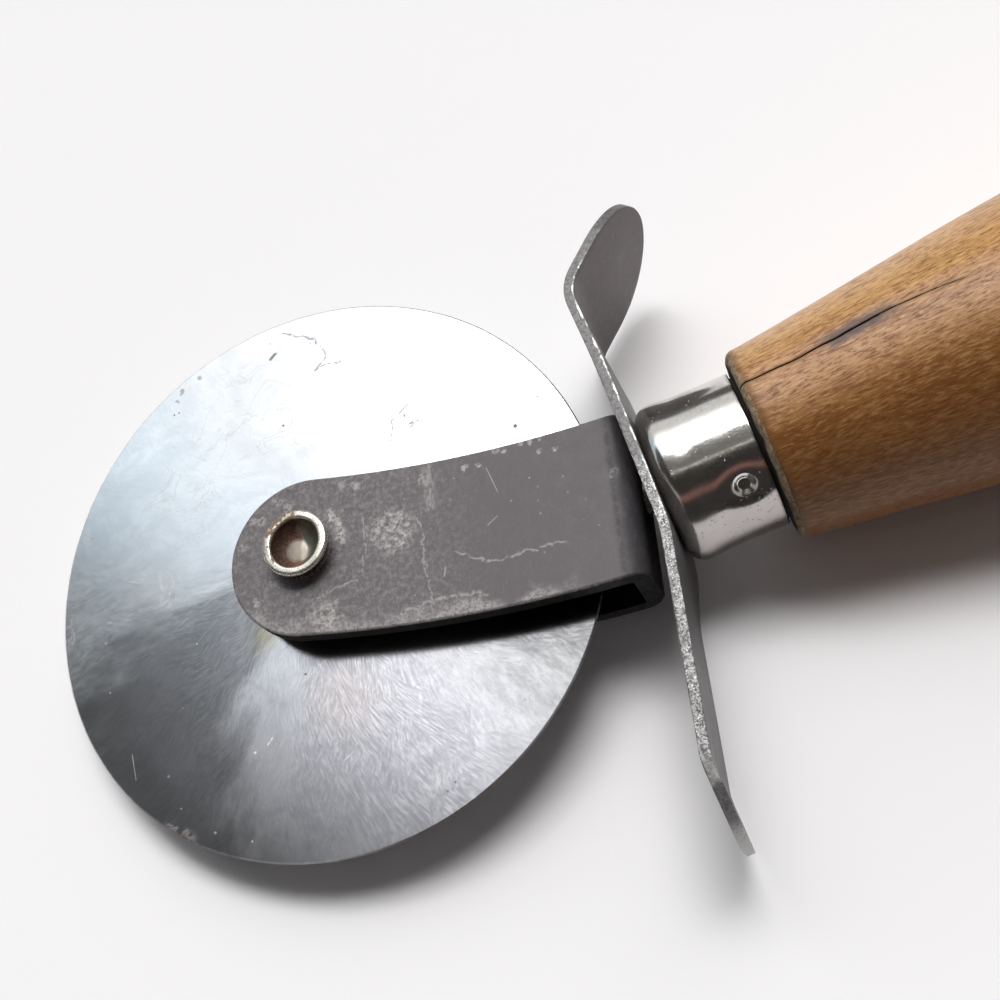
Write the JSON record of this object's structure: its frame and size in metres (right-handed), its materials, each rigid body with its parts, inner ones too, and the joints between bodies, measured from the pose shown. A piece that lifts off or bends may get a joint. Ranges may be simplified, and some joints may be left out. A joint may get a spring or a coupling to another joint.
{
  "type": "pizza cutter",
  "caption": "Hand pizza cutter: a bevelled steel disc spins on a riveted axle in a bent strap fork, with a finger guard, a metal ferrule and a turned wooden handle.",
  "frame": {"origin": "on the handle's axis, at the back face of the guard", "axes": "+X along the handle to its butt, +Z along the blade's axle towards the rivet's hollow end, +Y across, towards the guard's flared wing"},
  "size_m": [0.1913, 0.0792, 0.0316],
  "materials": {
    "blade_steel": "satin, finely ground round the disc, with water spots",
    "fork_steel": "dull worn plating, pale where it is rubbed through",
    "guard_steel": "dull plating with rough bright sheared edges",
    "rivet_metal": "worn nickel plating with rust in the hollow end",
    "bush_steel": "plain turned steel",
    "tang_steel": "plain drawn rod",
    "ferrule_plate": "bright plating with fine pits",
    "handle_wood": "varnished honey-brown hardwood, worn, with a lengthwise crack"
  },
  "bodies": {
    "holder": {"fork": "fork_steel", "axle_rivet": "rivet_metal", "axle_bush": "bush_steel", "upper_spacer": "bush_steel", "lower_spacer": "bush_steel", "guard": "guard_steel", "tang": "tang_steel", "ferrule": "ferrule_plate", "handle": "handle_wood"},
    "wheel": {"blade": "blade_steel"}
  },
  "joints": [
    {"name": "blade_spin", "type": "hinge", "parent": "holder", "child": "wheel", "pos_m": [-0.03833, 0.00767, 0], "axis": [0, 0, 1], "continuous": true}
  ]
}
